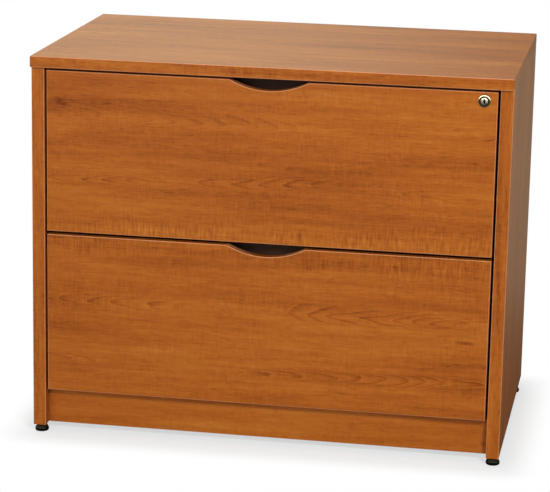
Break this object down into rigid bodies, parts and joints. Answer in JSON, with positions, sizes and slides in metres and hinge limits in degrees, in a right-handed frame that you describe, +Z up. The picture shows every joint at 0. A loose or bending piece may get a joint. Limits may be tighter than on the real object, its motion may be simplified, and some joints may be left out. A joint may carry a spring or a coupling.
{
  "type": "lateral filing cabinet",
  "caption": "Wood-laminate lateral filing cabinet with full-width drawers on telescopic slides, scooped finger pulls, a cam lock with lock bar, a recessed kick plate and levelling feet.",
  "frame": {"origin": "on the floor, under the middle of the top panel", "axes": "+X to the cabinet's right as seen from the front, +Y from the drawer fronts to the back, +Z up"},
  "size_m": [0.916, 0.559, 0.749],
  "materials": {
    "cherry_laminate": "satin wood-grain laminate on board, grain along each piece",
    "drawer_melamine": "matt charcoal melamine on board",
    "black_plastic": "fine moulded texture",
    "zinc_steel": "bright zinc plate",
    "chrome": "polished",
    "black_steel": "black powder coat"
  },
  "bodies": {
    "carcass": {"top_panel": "cherry_laminate", "left_side_panel": "cherry_laminate", "right_side_panel": "cherry_laminate", "back_panel": "cherry_laminate", "bottom_panel": "cherry_laminate", "kick_plate": "cherry_laminate", "front_left_leveller_insert": "zinc_steel", "front_right_leveller_insert": "zinc_steel", "rear_left_leveller_insert": "zinc_steel", "rear_right_leveller_insert": "zinc_steel", "upper_left_slide_cabinet_member": "zinc_steel", "upper_right_slide_cabinet_member": "zinc_steel", "lower_left_slide_cabinet_member": "zinc_steel", "lower_right_slide_cabinet_member": "zinc_steel", "upper_lock_bar_guide": "black_steel", "lower_lock_bar_guide": "black_steel"},
    "upper_drawer": {"upper_drawer_front": "cherry_laminate", "upper_finger_pull": "black_plastic", "upper_box_left_side": "drawer_melamine", "upper_box_right_side": "drawer_melamine", "upper_box_inner_front": "drawer_melamine", "upper_box_back": "drawer_melamine", "upper_box_bottom": "drawer_melamine", "upper_front_file_rail": "black_steel", "upper_rear_file_rail": "black_steel", "upper_lock_catch": "black_steel", "upper_left_slide_drawer_member": "zinc_steel", "upper_right_slide_drawer_member": "zinc_steel", "lock_housing": "chrome", "lock_nut": "zinc_steel"},
    "upper_slide_middle": {"upper_left_slide_middle_member": "zinc_steel", "upper_right_slide_middle_member": "zinc_steel"},
    "lower_drawer": {"lower_drawer_front": "cherry_laminate", "lower_finger_pull": "black_plastic", "lower_box_left_side": "drawer_melamine", "lower_box_right_side": "drawer_melamine", "lower_box_inner_front": "drawer_melamine", "lower_box_back": "drawer_melamine", "lower_box_bottom": "drawer_melamine", "lower_front_file_rail": "black_steel", "lower_rear_file_rail": "black_steel", "lower_lock_catch": "black_steel", "lower_left_slide_drawer_member": "zinc_steel", "lower_right_slide_drawer_member": "zinc_steel"},
    "lower_slide_middle": {"lower_left_slide_middle_member": "zinc_steel", "lower_right_slide_middle_member": "zinc_steel"},
    "lock_cylinder": {"lock_plug": "chrome", "lock_cam": "zinc_steel"},
    "lock_bar": {"lock_bar": "black_steel"},
    "front_left_leveller": {"front_left_leveller": "black_plastic"},
    "front_right_leveller": {"front_right_leveller": "black_plastic"},
    "rear_left_leveller": {"rear_left_leveller": "black_plastic"},
    "rear_right_leveller": {"rear_right_leveller": "black_plastic"}
  },
  "joints": [
    {"name": "upper_drawer_slide", "type": "slide", "parent": "carcass", "child": "upper_drawer", "axis": [0, -1, 0], "range_m": [0, 0.45]},
    {"name": "upper_slide_middle_slide", "type": "slide", "parent": "carcass", "child": "upper_slide_middle", "axis": [0, -1, 0], "range_m": [0, 0.225]},
    {"name": "lower_drawer_slide", "type": "slide", "parent": "carcass", "child": "lower_drawer", "axis": [0, -1, 0], "range_m": [0, 0.45]},
    {"name": "lower_slide_middle_slide", "type": "slide", "parent": "carcass", "child": "lower_slide_middle", "axis": [0, -1, 0], "range_m": [0, 0.225]},
    {"name": "lock_turn", "type": "hinge", "parent": "upper_drawer", "child": "lock_cylinder", "pos_m": [0.4025, -0.2695, 0.7045], "axis": [0, -1, 0], "range_deg": [0, 90]},
    {"name": "lock_bar_lift", "type": "slide", "parent": "carcass", "child": "lock_bar", "axis": [0, 0, 1], "range_m": [0, 0.01697]},
    {"name": "front_left_leveller_turn", "type": "hinge", "parent": "carcass", "child": "front_left_leveller", "pos_m": [-0.4445, -0.2515, 0], "axis": [0, 0, 1], "continuous": true},
    {"name": "front_right_leveller_turn", "type": "hinge", "parent": "carcass", "child": "front_right_leveller", "pos_m": [0.4445, -0.2515, 0], "axis": [0, 0, 1], "continuous": true},
    {"name": "rear_left_leveller_turn", "type": "hinge", "parent": "carcass", "child": "rear_left_leveller", "pos_m": [-0.4445, 0.2195, 0], "axis": [0, 0, 1], "continuous": true},
    {"name": "rear_right_leveller_turn", "type": "hinge", "parent": "carcass", "child": "rear_right_leveller", "pos_m": [0.4445, 0.2195, 0], "axis": [0, 0, 1], "continuous": true}
  ],
  "couplings": [
    {"joint": "upper_slide_middle_slide", "follows": "upper_drawer_slide", "ratio": 0.5},
    {"joint": "lower_slide_middle_slide", "follows": "lower_drawer_slide", "ratio": 0.5},
    {"joint": "lock_turn", "follows": "lock_bar_lift", "rad_per_m": 92.56}
  ]
}
